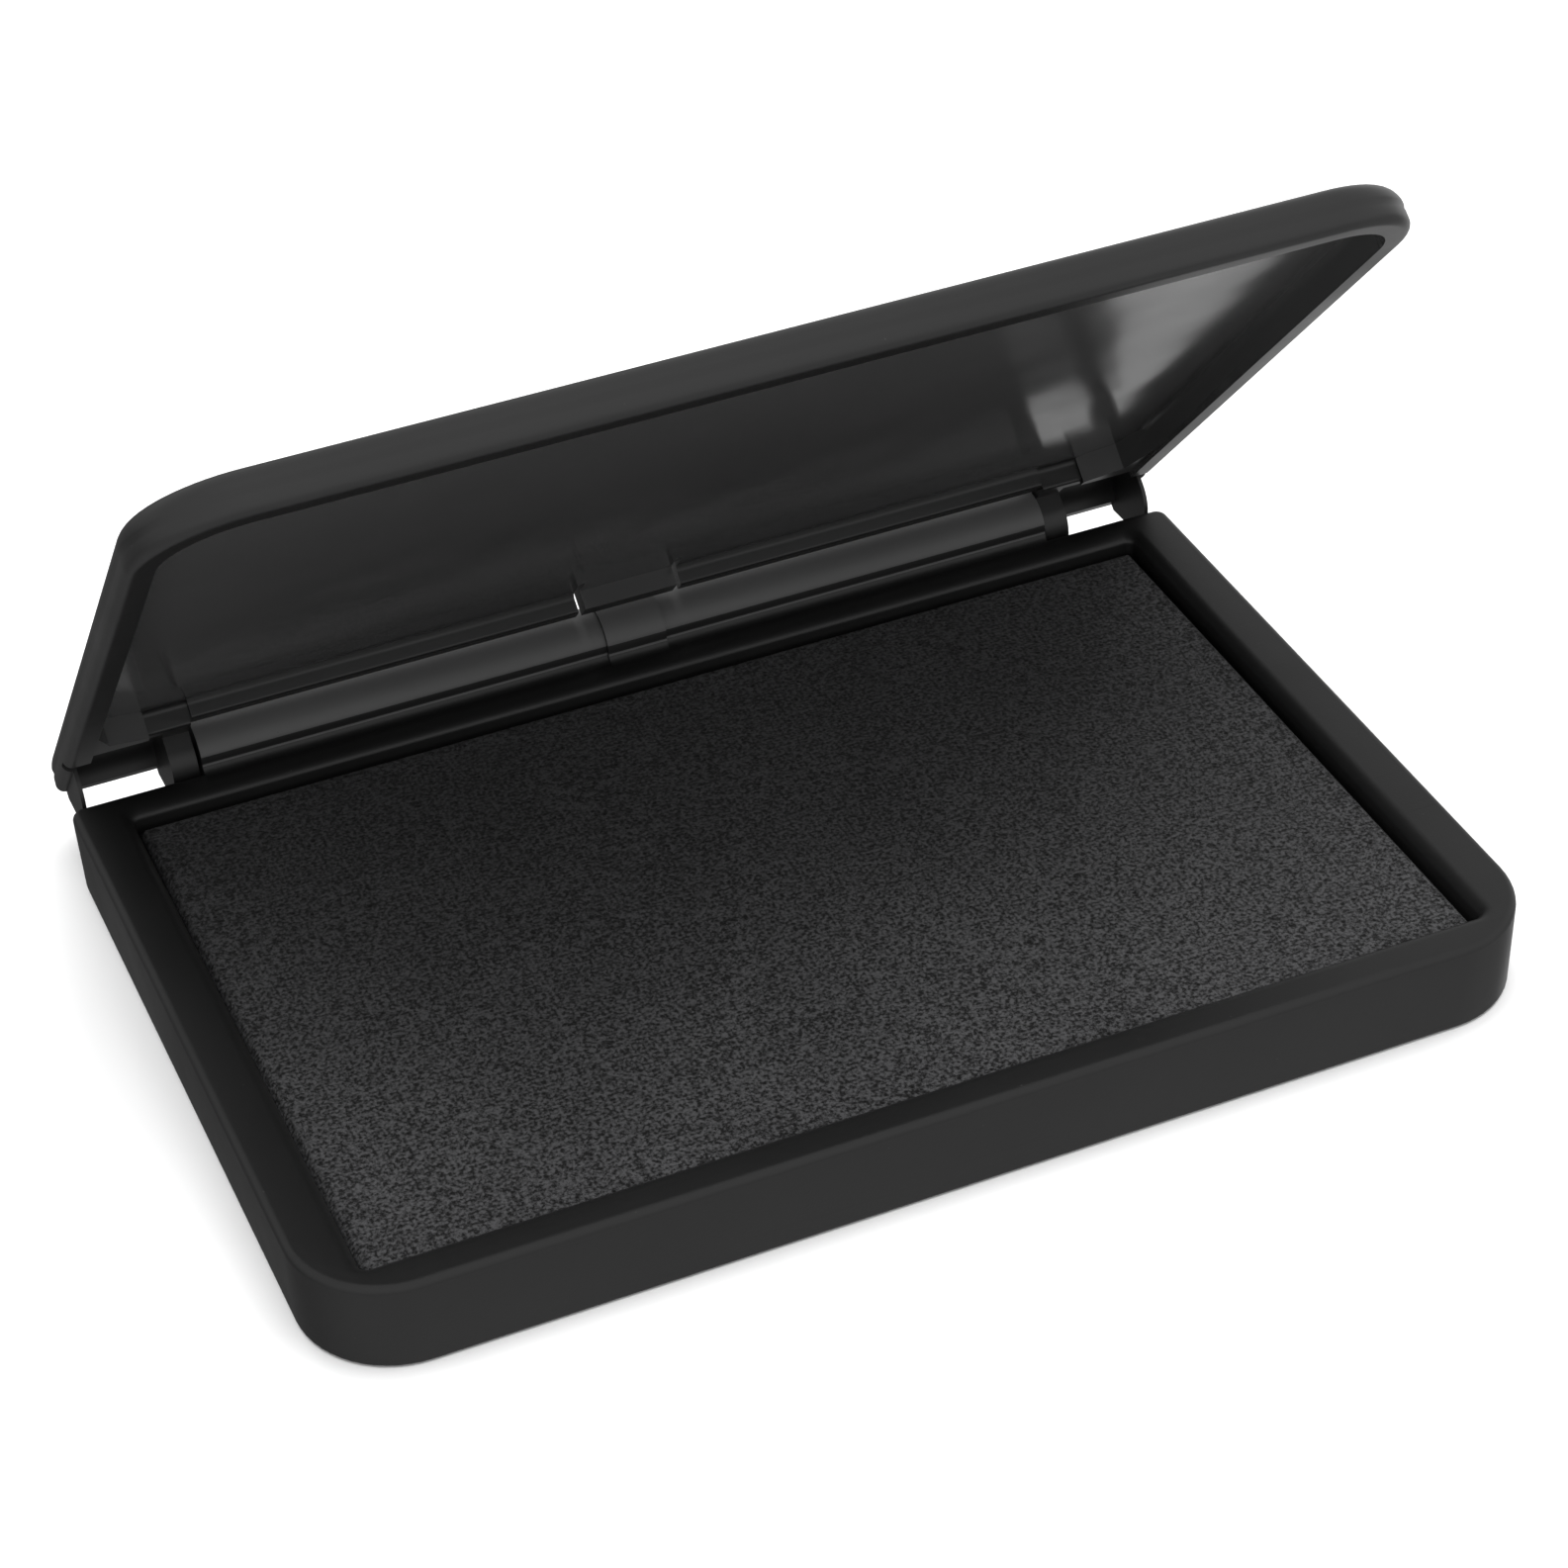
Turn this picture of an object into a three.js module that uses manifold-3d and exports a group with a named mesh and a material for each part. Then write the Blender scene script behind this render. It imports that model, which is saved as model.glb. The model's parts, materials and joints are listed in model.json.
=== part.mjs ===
// A hinged ink pad: a shallow tray that holds an inked cloth pad, under a lid that
// swings on two moulded pins at the back.  Millimetres, +Z up, +X along the long side,
// +Y towards the hinge.  The origin is the centre of the tray's underside.

import * as THREE from "three";
import { mergeVertices } from "three/addons/utils/BufferGeometryUtils.js";
import Module from "manifold-3d";

// ---- Driving dimensions -------------------------------------------------------------

// Tray
const BASE_WIDTH = 120;
const BASE_DEPTH = 78;
const BASE_HEIGHT = 9.4;
const BASE_CORNER = 9.5;
const BASE_BACK_CORNER = 1.3;
const BASE_EDGE_ROUND = 1.0;
const BASE_FOOT_ROUND = 0.5;
const RIM_SIDE = 3.8;
const RIM_FRONT = 2.8;
const RIM_BACK = 3.5;
const WINDOW_CORNER = 0.8;
const BRINK_WIDTH = 1.3;
const BRINK_DROP = 1.0;
const FLOOR_THICKNESS = 1.6;

// Moulded groove under the tray
const FOOT_INSET = 7;
const FOOT_GROOVE_WIDTH = 1.4;
const FOOT_GROOVE_DEPTH = 0.6;

// Ink pad inside the tray
const PAD_RECESS = 1.6;
const PAD_SIDE_GAP = 0.4;
const PAD_CORNER = 0.9;
const PAD_EDGE_ROUND = 0.4;
const BOARD_THICKNESS = 1.0;
const CLOTH_THICKNESS = 0.6;
const LAYER_GAP = 0.3;

// Hinge: axis behind the tray's back wall and a little under its rim
const HINGE_BEHIND = 4.0;
const HINGE_BELOW_RIM = 0.5;
const PIN_RADIUS = 1.3;
const PIN_ENTRY = 2.4;
const PIN_CLEARANCE = 0.35;
const PIN_END_CLEARANCE = 0.5;
const KNUCKLE_CLEARANCE = 0.3;
const ARM_WIDTH = 2.7;
const SWING_CLEARANCE = 0.3;

// Spine: the raised bar along the back of the tray, between the two hinge arms
const HINGE_END_WIDTH = 13.6;
const SPINE_FRONT_HEIGHT = 1.7;
const SPINE_CROWN_HEIGHT = 2.2;
const SPINE_CROWN_DEPTH = 5.8;
const SPINE_DEPTH = 6.8;
const SPINE_BACK_HEIGHT = 0.8;
const BOSS_WIDTH = 6.4;
const BOSS_RISE = 0.35;

// Lid
const LID_SIDE_INSET = 0.3;
const LID_FRONT_OVERHANG = 2.0;
const LID_GAP = 0.3;
const LID_HEIGHT = 4.4;
const LID_CORNER = 10.2;
const LID_EDGE_ROUND = 2.0;
const LID_WALL = 2.5;
const LID_RIM_WIDTH = 1.1;
const LID_RIM_DROP = 0.9;
const LID_TOP_THICKNESS = 1.5;
const EAR_WIDTH = 1.3;
const BACK_SHELL_THICKNESS = 1.4;
const BACK_SHELL_RISE = 0.6;
const LIP_CLEARANCE = 0.8;
const LIP_ANGLE = 150;
const LIP_DEPTH = 2.5;
const LIP_DROP = 1.6;
const TONGUE_WIDTH = 10;
const TONGUE_PROUD = 0.6;
const SLIT_WIDTH = 0.6;
const SLIT_LENGTH = 5.2;

// The lid stands open by this angle at rest; 0 would be shut
const REST_OPEN_ANGLE = 47.6;

// Facets on round stretches
const CURVE_SEGMENTS = 8;
const ROUND_SEGMENTS = 3;
const PIN_SEGMENTS = 20;

// ---- Derived places -----------------------------------------------------------------

const BASE_BACK = BASE_DEPTH / 2;
const WINDOW_X = BASE_WIDTH / 2 - RIM_SIDE;
const WINDOW_FRONT = -BASE_DEPTH / 2 + RIM_FRONT;
const WINDOW_BACK = BASE_BACK - RIM_BACK;
const PAD_TOP = BASE_HEIGHT - PAD_RECESS;
const WELL_X = WINDOW_X - BRINK_WIDTH;
const WELL_FRONT = WINDOW_FRONT + BRINK_WIDTH;
const PAD_X = WELL_X - PAD_SIDE_GAP;
const PAD_FRONT = WELL_FRONT + PAD_SIDE_GAP;
const PAD_BACK = WINDOW_BACK - PAD_SIDE_GAP;

const SPINE_X = BASE_WIDTH / 2 - HINGE_END_WIDTH;
const HINGE_Y = BASE_BACK + HINGE_BEHIND;
const HINGE_Z = BASE_HEIGHT - HINGE_BELOW_RIM;
const KNUCKLE_RADIUS = HINGE_BEHIND - SWING_CLEARANCE;
const ARM_INNER_X = SPINE_X + KNUCKLE_CLEARANCE;
const ARM_OUTER_X = ARM_INNER_X + ARM_WIDTH;

const LID_X = BASE_WIDTH / 2 - LID_SIDE_INSET;
const LID_FRONT = -BASE_DEPTH / 2 - LID_FRONT_OVERHANG;
const LID_RIM_Z = BASE_HEIGHT + LID_GAP;
const LID_TOP_Z = LID_RIM_Z + LID_HEIGHT;
const LID_CEILING_Z = LID_TOP_Z - LID_TOP_THICKNESS;
const BACK_RADIUS = LID_TOP_Z - HINGE_Z;
const BACK_INNER_RADIUS = BACK_RADIUS - BACK_SHELL_THICKNESS;
const EAR_INNER_X = LID_X - EAR_WIDTH;

// The lip passes over the spine, so it keeps clear of the spine's farthest point from the axis
const SPINE_REACH = Math.max(...spineSection(BOSS_RISE).getPoints(CURVE_SEGMENTS)
  .filter((point) => point.y > BASE_HEIGHT)
  .map((point) => Math.hypot(point.x - HINGE_Y, point.y - HINGE_Z)));
const LIP_RADIUS = SPINE_REACH + LIP_CLEARANCE;
const LIP_BACK_Y = HINGE_Y + LIP_RADIUS * Math.cos(THREE.MathUtils.degToRad(LIP_ANGLE));
const LIP_BACK_Z = HINGE_Z + LIP_RADIUS * Math.sin(THREE.MathUtils.degToRad(LIP_ANGLE));
const LIP_FRONT_Y = LIP_BACK_Y - LIP_DEPTH;
const LIP_LOW_Z = LID_CEILING_Z - LIP_DROP;

// Cutters reach this far past the faces they open
const CUT = 30;

// ---- Solids -------------------------------------------------------------------------

const wasm = await Module();
wasm.setup();

function toSolid(geometry) {
  const plain = geometry.clone();
  plain.deleteAttribute("normal");
  plain.deleteAttribute("uv");
  const merged = mergeVertices(plain, 1e-4);
  return new wasm.Manifold(new wasm.Mesh({
    numProp: 3,
    vertProperties: new Float32Array(merged.attributes.position.array),
    triVerts: new Uint32Array(merged.index.array),
  }));
}

function toGeometry(solid) {
  const mesh = solid.getMesh();
  const geometry = new THREE.BufferGeometry();
  geometry.setAttribute("position", new THREE.BufferAttribute(mesh.vertProperties, 3));
  geometry.setIndex(new THREE.BufferAttribute(mesh.triVerts, 1));
  geometry.computeVertexNormals();
  return geometry;
}

function join(solids) {
  return solids.reduce((whole, next) => whole.add(next));
}

function cut(solid, cutters) {
  return cutters.reduce((left, cutter) => left.subtract(cutter), solid);
}

// A plan outline whose front and back corners have their own radii
function planOutline(x, front, back, frontCorner, backCorner) {
  const shape = new THREE.Shape();
  shape.moveTo(-x + frontCorner, front);
  shape.absarc(x - frontCorner, front + frontCorner, frontCorner, -Math.PI / 2, 0);
  shape.absarc(x - backCorner, back - backCorner, backCorner, 0, Math.PI / 2);
  shape.absarc(-x + backCorner, back - backCorner, backCorner, Math.PI / 2, Math.PI);
  shape.absarc(-x + frontCorner, front + frontCorner, frontCorner, Math.PI, Math.PI * 1.5);
  return shape;
}

// A straight prism of a plan outline between two heights
function prism(outline, low, high) {
  const geometry = new THREE.ExtrudeGeometry(outline, {
    depth: high - low,
    bevelEnabled: false,
    curveSegments: CURVE_SEGMENTS,
  });
  geometry.translate(0, 0, low);
  return toSolid(geometry);
}

// The same prism with its top and bottom edges taken back by `width` over the height `drop`
function easedPrism(outline, low, high, width, drop, segments) {
  const geometry = new THREE.ExtrudeGeometry(outline, {
    depth: high - low - 2 * drop,
    bevelThickness: drop,
    bevelSize: width,
    bevelOffset: -width,
    bevelSegments: segments,
    curveSegments: CURVE_SEGMENTS,
  });
  geometry.translate(0, 0, low + drop);
  return toSolid(geometry);
}

function roundedPrism(outline, low, high, round) {
  return easedPrism(outline, low, high, round, round, ROUND_SEGMENTS);
}

// A block between two corners
function block(x0, x1, y0, y1, z0, z1) {
  const geometry = new THREE.BoxGeometry(x1 - x0, y1 - y0, z1 - z0);
  geometry.translate((x0 + x1) / 2, (y0 + y1) / 2, (z0 + z1) / 2);
  return toSolid(geometry);
}

// A section drawn in Y and Z, run along X
function alongX(section, x0, x1) {
  const geometry = new THREE.ExtrudeGeometry(section, {
    depth: x1 - x0,
    bevelEnabled: false,
    curveSegments: CURVE_SEGMENTS,
  });
  const yAxis = new THREE.Vector3(0, 1, 0);
  const zAxis = new THREE.Vector3(0, 0, 1);
  const xAxis = new THREE.Vector3(1, 0, 0);
  geometry.applyMatrix4(new THREE.Matrix4().makeBasis(yAxis, zAxis, xAxis));
  geometry.translate(x0, 0, 0);
  return toSolid(geometry);
}

// A round pin or bore on the hinge axis
function onHingeAxis(radius, x0, x1) {
  const geometry = new THREE.CylinderGeometry(radius, radius, x1 - x0, PIN_SEGMENTS);
  geometry.rotateZ(Math.PI / 2);
  geometry.translate((x0 + x1) / 2, HINGE_Y, HINGE_Z);
  return toSolid(geometry);
}

// Both hands of something made for +X
function bothHands(solid) {
  return solid.add(solid.mirror([1, 0, 0]));
}

// ---- Tray ---------------------------------------------------------------------------

// The spine's section, raised by `rise` over the whole visible crown
function spineSection(rise) {
  const foot = BASE_HEIGHT + SPINE_FRONT_HEIGHT;
  const half = SPINE_CROWN_DEPTH / 2;
  const section = new THREE.Shape();
  section.moveTo(BASE_BACK - BASE_BACK_CORNER, 0);
  section.lineTo(BASE_BACK + SPINE_DEPTH, 0);
  section.lineTo(BASE_BACK + SPINE_DEPTH, BASE_HEIGHT + SPINE_BACK_HEIGHT);
  section.absellipse(
    BASE_BACK + half, foot, half + rise, SPINE_CROWN_HEIGHT + rise, Math.PI / 4, Math.PI);
  section.lineTo(BASE_BACK - rise, BASE_HEIGHT - BASE_EDGE_ROUND);
  section.lineTo(BASE_BACK - BASE_BACK_CORNER, BASE_HEIGHT - BASE_EDGE_ROUND);
  return section;
}

function makeTray() {
  const outline = planOutline(
    BASE_WIDTH / 2, -BASE_DEPTH / 2, BASE_BACK, BASE_CORNER, BASE_BACK_CORNER);
  const spare = BASE_FOOT_ROUND + BASE_EDGE_ROUND + 2;
  const body = roundedPrism(outline, -spare, BASE_HEIGHT, BASE_EDGE_ROUND)
    .intersect(roundedPrism(outline, 0, BASE_HEIGHT + spare, BASE_FOOT_ROUND));
  const spine = alongX(spineSection(0), -SPINE_X, SPINE_X);
  const boss = alongX(spineSection(BOSS_RISE), -BOSS_WIDTH / 2, BOSS_WIDTH / 2);

  const well = planOutline(WELL_X, WELL_FRONT, WINDOW_BACK, WINDOW_CORNER, WINDOW_CORNER);
  const brinkCorner = WINDOW_CORNER + BRINK_WIDTH;
  const brink = planOutline(WINDOW_X, WINDOW_FRONT, WINDOW_BACK, brinkCorner, brinkCorner);
  const brinkLow = BASE_HEIGHT - BRINK_DROP;
  const wellCut = prism(well, FLOOR_THICKNESS, BASE_HEIGHT + CUT);
  const brinkCut = easedPrism(brink, brinkLow, brinkLow + CUT, BRINK_WIDTH, BRINK_DROP, 1);

  const socketInner = SPINE_X - PIN_ENTRY - PIN_END_CLEARANCE;
  const socket = onHingeAxis(PIN_RADIUS + PIN_CLEARANCE, socketInner, SPINE_X + 1);

  const grooveOuter = planOutline(
    BASE_WIDTH / 2 - FOOT_INSET, -BASE_DEPTH / 2 + FOOT_INSET, BASE_BACK - FOOT_INSET,
    BASE_CORNER / 2, BASE_CORNER / 2);
  const inner = FOOT_INSET + FOOT_GROOVE_WIDTH;
  const grooveInner = planOutline(
    BASE_WIDTH / 2 - inner, -BASE_DEPTH / 2 + inner, BASE_BACK - inner,
    BASE_CORNER / 3, BASE_CORNER / 3);
  const groove = prism(grooveOuter, -1, FOOT_GROOVE_DEPTH)
    .subtract(prism(grooveInner, -2, FOOT_GROOVE_DEPTH + 1));

  return cut(join([body, spine, boss]), [wellCut, brinkCut, bothHands(socket), groove]);
}

// ---- Ink pad ------------------------------------------------------------------------

function padOutline(inset) {
  const corner = Math.max(PAD_CORNER - inset, 0.2);
  return planOutline(PAD_X - inset, PAD_FRONT + inset, PAD_BACK - inset, corner, corner);
}

const BOARD_LOW = FLOOR_THICKNESS + LAYER_GAP;
const BOARD_HIGH = BOARD_LOW + BOARD_THICKNESS;
const FELT_LOW = BOARD_HIGH + LAYER_GAP;
const CLOTH_UNDERSIDE = PAD_TOP - CLOTH_THICKNESS;
const FELT_HIGH = CLOTH_UNDERSIDE - LAYER_GAP;
const FELT_INSET = CLOTH_THICKNESS + LAYER_GAP;

function makeBoard() {
  return prism(padOutline(FELT_INSET), BOARD_LOW, BOARD_HIGH);
}

function makeFelt() {
  return prism(padOutline(FELT_INSET), FELT_LOW, FELT_HIGH);
}

// The cloth is drawn over the felt and down its sides
function makeCloth() {
  const cover = roundedPrism(padOutline(0), FELT_LOW - CUT, PAD_TOP, PAD_EDGE_ROUND)
    .trimByPlane([0, 0, 1], FELT_LOW);
  return cover.subtract(prism(padOutline(CLOTH_THICKNESS), FELT_LOW - 1, CLOTH_UNDERSIDE));
}

// ---- Lid, drawn shut ----------------------------------------------------------------

// Outline of the ears and arms: a knuckle round the pin that grows into the rounded back
function hingeSection() {
  const heel = Math.acos(KNUCKLE_RADIUS / BACK_RADIUS);
  const section = new THREE.Shape();
  section.moveTo(LIP_FRONT_Y, LID_TOP_Z);
  section.lineTo(LIP_FRONT_Y, LID_RIM_Z);
  section.lineTo(HINGE_Y - KNUCKLE_RADIUS, LID_RIM_Z);
  section.lineTo(HINGE_Y - KNUCKLE_RADIUS, HINGE_Z);
  section.absarc(HINGE_Y, HINGE_Z, KNUCKLE_RADIUS, Math.PI, 2 * Math.PI - heel);
  section.lineTo(HINGE_Y + BACK_RADIUS, HINGE_Z);
  section.absarc(HINGE_Y, HINGE_Z, BACK_RADIUS, 0, Math.PI / 2);
  return section;
}

// The hollow between an arm and an ear, open at the bottom up to the rounded back's edge
function hingePocketSection() {
  const edgeAngle = Math.asin(BACK_SHELL_RISE / BACK_INNER_RADIUS);
  const section = new THREE.Shape();
  section.moveTo(LIP_BACK_Y, HINGE_Z - CUT);
  section.lineTo(HINGE_Y + CUT, HINGE_Z - CUT);
  section.lineTo(HINGE_Y + CUT, HINGE_Z + BACK_SHELL_RISE);
  section.absarc(HINGE_Y, HINGE_Z, BACK_INNER_RADIUS, edgeAngle, Math.PI / 2);
  section.lineTo(LIP_BACK_Y, HINGE_Z + BACK_INNER_RADIUS);
  return section;
}

// The lip is a rounded ridge across the lid, just in front of the spine
function underLipSection() {
  const round = Math.min(LIP_DROP, LIP_DEPTH) / 2;
  const section = new THREE.Shape();
  section.moveTo(LIP_FRONT_Y - CUT, LID_RIM_Z - CUT);
  section.lineTo(LIP_BACK_Y + 1, LID_RIM_Z - CUT);
  section.lineTo(LIP_BACK_Y + 1, LIP_BACK_Z);
  section.lineTo(LIP_BACK_Y, LIP_BACK_Z);
  section.lineTo(LIP_BACK_Y - round, LIP_LOW_Z);
  section.absarc(LIP_FRONT_Y + round, LIP_LOW_Z + round, round, -Math.PI / 2, -Math.PI, true);
  section.lineTo(LIP_FRONT_Y, LID_CEILING_Z);
  section.lineTo(LIP_FRONT_Y - CUT, LID_CEILING_Z);
  return section;
}

function makeLid() {
  const plan = planOutline(
    LID_X, LID_FRONT, HINGE_Y + BACK_RADIUS + CUT, LID_CORNER, LID_CORNER);
  const envelope = roundedPrism(plan, LID_RIM_Z - CUT, LID_TOP_Z, LID_EDGE_ROUND);
  const plate = block(-LID_X, LID_X, LID_FRONT, HINGE_Y, LID_RIM_Z, LID_TOP_Z);
  const hingeEnds = bothHands(alongX(hingeSection(), ARM_INNER_X, LID_X));
  const shell = join([plate, hingeEnds]).intersect(envelope);

  const innerX = LID_X - LID_WALL;
  const innerFront = LID_FRONT + LID_WALL;
  const innerCorner = LID_CORNER - LID_WALL;
  const inside = planOutline(innerX, innerFront, LIP_BACK_Y, innerCorner, WINDOW_CORNER);
  const insideCut = prism(inside, LID_RIM_Z - 1, LID_CEILING_Z)
    .intersect(alongX(underLipSection(), -innerX, innerX)
      .add(block(-innerX, innerX, innerFront, LIP_FRONT_Y, LID_RIM_Z - 1, LID_CEILING_Z)));
  const rimX = LID_X - LID_RIM_WIDTH;
  const rimFront = LID_FRONT + LID_RIM_WIDTH;
  const rimCorner = LID_CORNER - LID_RIM_WIDTH;
  const rimPlan = planOutline(rimX, rimFront, LIP_FRONT_Y, rimCorner, LID_WALL);
  const rimCut = easedPrism(
    rimPlan, LID_RIM_Z - CUT, LID_RIM_Z + LID_RIM_DROP, LID_WALL - LID_RIM_WIDTH, LID_RIM_DROP, 1);
  const pocketCut = bothHands(alongX(hingePocketSection(), ARM_OUTER_X, EAR_INNER_X));
  const spineCut = block(
    -ARM_INNER_X, ARM_INNER_X, LIP_BACK_Y, HINGE_Y + CUT, LID_RIM_Z - CUT, LID_TOP_Z + 1);

  const tongue = block(
    -TONGUE_WIDTH / 2, TONGUE_WIDTH / 2,
    LIP_FRONT_Y - TONGUE_PROUD, LIP_BACK_Y, LIP_LOW_Z, LID_CEILING_Z + LID_TOP_THICKNESS / 2);
  const slit = block(
    TONGUE_WIDTH / 2, TONGUE_WIDTH / 2 + SLIT_WIDTH,
    LIP_BACK_Y - SLIT_LENGTH, LIP_BACK_Y + 1, LID_RIM_Z - 1, LID_TOP_Z + 1);
  const pin = onHingeAxis(PIN_RADIUS, SPINE_X - PIN_ENTRY, ARM_INNER_X + ARM_WIDTH / 2);

  const hollow = cut(shell, [insideCut, rimCut, pocketCut, spineCut]);
  return cut(join([hollow, tongue]), [bothHands(slit)]).add(bothHands(pin));
}

// ---- Materials and scene ------------------------------------------------------------

function plastic(name, colour, roughness) {
  return new THREE.MeshStandardMaterial({ name, color: colour, roughness, metalness: 0 });
}

const TRAY_PLASTIC = plastic("tray_plastic", 0x26272a, 0.42);
const LID_PLASTIC = plastic("lid_plastic", 0x26272a, 0.3);
const BOARD_PLASTIC = plastic("board_plastic", 0x606060, 0.8);
const FELT_WOOL = plastic("felt_wool", 0x17171a, 0.95);
const INKED_CLOTH = plastic("inked_cloth", 0x1b1b1e, 0.85);

function addMesh(parent, name, solid, material) {
  const mesh = new THREE.Mesh(toGeometry(solid), material);
  mesh.name = name;
  parent.add(mesh);
  return mesh;
}

const group = new THREE.Group();
addMesh(group, "base_tray", makeTray(), TRAY_PLASTIC);
addMesh(group, "pad_board", makeBoard(), BOARD_PLASTIC);
addMesh(group, "felt_core", makeFelt(), FELT_WOOL);
addMesh(group, "ink_cloth", makeCloth(), INKED_CLOTH);

const hinge = new THREE.Group();
hinge.position.set(0, HINGE_Y, HINGE_Z);
hinge.rotation.x = -THREE.MathUtils.degToRad(REST_OPEN_ANGLE);
group.add(hinge);
const lid = addMesh(hinge, "lid_shell", makeLid(), LID_PLASTIC);
lid.position.set(0, -HINGE_Y, -HINGE_Z);

export default group;
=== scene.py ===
"""A hinged black ink pad with its lid standing open, dressed for rendering.

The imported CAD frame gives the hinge's place and the size of each piece; the smaller sizes
are listed below.  Lengths in this file are millimetres until a mesh is made, when MM turns
them into metres.
"""

import json
import math

import bmesh
import bpy
from mathutils import Matrix, Vector, noise


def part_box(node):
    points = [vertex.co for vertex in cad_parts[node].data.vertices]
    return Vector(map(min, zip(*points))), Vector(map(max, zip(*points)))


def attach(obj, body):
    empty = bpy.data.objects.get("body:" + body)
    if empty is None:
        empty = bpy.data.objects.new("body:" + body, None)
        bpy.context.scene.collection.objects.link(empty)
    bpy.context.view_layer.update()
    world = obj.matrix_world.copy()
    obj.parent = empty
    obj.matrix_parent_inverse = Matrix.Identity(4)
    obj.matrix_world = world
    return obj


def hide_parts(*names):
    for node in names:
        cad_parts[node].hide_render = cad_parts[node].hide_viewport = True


MM = 0.001

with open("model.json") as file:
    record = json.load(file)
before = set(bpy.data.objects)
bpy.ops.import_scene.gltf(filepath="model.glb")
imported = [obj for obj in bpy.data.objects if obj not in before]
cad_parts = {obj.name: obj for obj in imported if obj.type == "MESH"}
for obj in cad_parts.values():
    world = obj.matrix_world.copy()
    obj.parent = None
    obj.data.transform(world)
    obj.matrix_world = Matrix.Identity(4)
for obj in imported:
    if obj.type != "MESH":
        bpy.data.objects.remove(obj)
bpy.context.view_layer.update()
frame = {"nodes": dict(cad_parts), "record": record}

# ---- Places taken from the frame ----------------------------------------------------

HINGE = frame["record"]["behaviour"]["joints"][0]
HINGE_Y = HINGE["pos_m"][1] / MM
HINGE_Z = HINGE["pos_m"][2] / MM
REST_OPEN_ANGLE = math.radians(-HINGE["range_deg"][0])

TRAY_LOW, TRAY_HIGH = [Vector(corner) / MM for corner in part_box("base_tray")]
CLOTH_LOW, CLOTH_HIGH = [Vector(corner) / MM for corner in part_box("ink_cloth")]
FELT_LOW, FELT_HIGH = [Vector(corner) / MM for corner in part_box("felt_core")]
LID_LOW, LID_HIGH = [Vector(corner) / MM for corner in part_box("lid_shell")]

# ---- Sizes that follow the CAD source -----------------------------------------------

HINGE_BEHIND = 4.0
HINGE_BELOW_RIM = 0.5
TRAY_X = TRAY_HIGH.x
TRAY_FRONT = TRAY_LOW.y
TRAY_BACK = HINGE_Y - HINGE_BEHIND
TRAY_TOP = HINGE_Z + HINGE_BELOW_RIM
TRAY_CORNER = 9.5
TRAY_BACK_CORNER = 1.3
FOOT_ROUND = 0.5
FLOOR = 1.6
WELL_GAP = 0.4
WELL_X = CLOTH_HIGH.x + WELL_GAP
WELL_FRONT = CLOTH_LOW.y - WELL_GAP
WELL_BACK = CLOTH_HIGH.y + WELL_GAP
WELL_CORNER = 0.8
BRINK_WIDTH = 1.3
BRINK_DROP = 1.0
FOOT_INSET = 7.0
FOOT_GROOVE_WIDTH = 1.4
FOOT_GROOVE_DEPTH = 0.6

HINGE_END_WIDTH = 13.6
SPINE_X = TRAY_X - HINGE_END_WIDTH
SPINE_FRONT_HEIGHT = 1.7
SPINE_CROWN_HEIGHT = 2.2
SPINE_DEPTH = TRAY_HIGH.y - TRAY_BACK
BOSS_X = 3.2
BOSS_RISE = 0.35
PIN_RADIUS = 1.3
PIN_ENTRY = 2.4
PIN_CLEARANCE = 0.35
SWING_CLEARANCE = 0.3
KNUCKLE_CLEARANCE = 0.3
ARM_WIDTH = 2.7
ARM_INNER_X = SPINE_X + KNUCKLE_CLEARANCE
ARM_OUTER_X = ARM_INNER_X + ARM_WIDTH

LID_X = LID_HIGH.x
LID_FRONT_OVERHANG = 2.0
LID_FRONT = TRAY_FRONT - LID_FRONT_OVERHANG
LID_GAP = 0.3
LID_RIM_Z = TRAY_TOP + LID_GAP
LID_HEIGHT = 4.4
LID_TOP_Z = LID_RIM_Z + LID_HEIGHT
LID_CORNER = 10.2
EAR_WIDTH = 1.3
EAR_INNER_X = LID_X - EAR_WIDTH
KNUCKLE_RADIUS = HINGE_BEHIND - SWING_CLEARANCE
BACK_RADIUS = LID_TOP_Z - HINGE_Z
BACK_SHELL = 1.4
BACK_INNER_RADIUS = BACK_RADIUS - BACK_SHELL
BACK_SHELL_RISE = 0.6
LIP_RADIUS = 6.055
LIP_ANGLE = math.radians(150)
LIP_BACK_Y = HINGE_Y + LIP_RADIUS * math.cos(LIP_ANGLE)
LIP_LOW_Z = 11.0
HINGE_WALL_RISE = 0.85
HINGE_WALL_LOW_Z = LID_RIM_Z + HINGE_WALL_RISE
TONGUE_X = 5.0
TONGUE_PROUD = 0.6
SLIT_WIDTH = 0.6
SLIT_LENGTH = 5.2

# ---- Sizes of the visible finish, which differ a little from the CAD source ----------

TRAY_EDGE_ROUND = 0.8
TRAY_SIDE_FLARE = 0.25
BACK_BRINK_SHARE = 1.7
SPINE_FOOT_FILLET = 1.1
SPINE_CROWN_RADIUS = 3.575
SPINE_CROWN_BACK = 3.3
SPINE_CROWN_ARC = (157.4, 12)
LID_WALL = 2.6
LID_PANEL = 1.1
LID_CEILING_Z = LID_TOP_Z - LID_PANEL
LIP_DEPTH = 1.7
LIP_FRONT_Y = LIP_BACK_Y - LIP_DEPTH
LID_CREASE_HEIGHT = 1.95
LID_CREASE_DEPTH = 0.12
LID_SHOULDER = 2.2
LID_RIM_ROUND = 0.9
LID_COVE = 0.9
LIP_COVE = 0.7
LIP_EDGE_ROUND = 0.3
FACET_DEPTH = 8.0
FACET_WIDTH = 6.0
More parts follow.
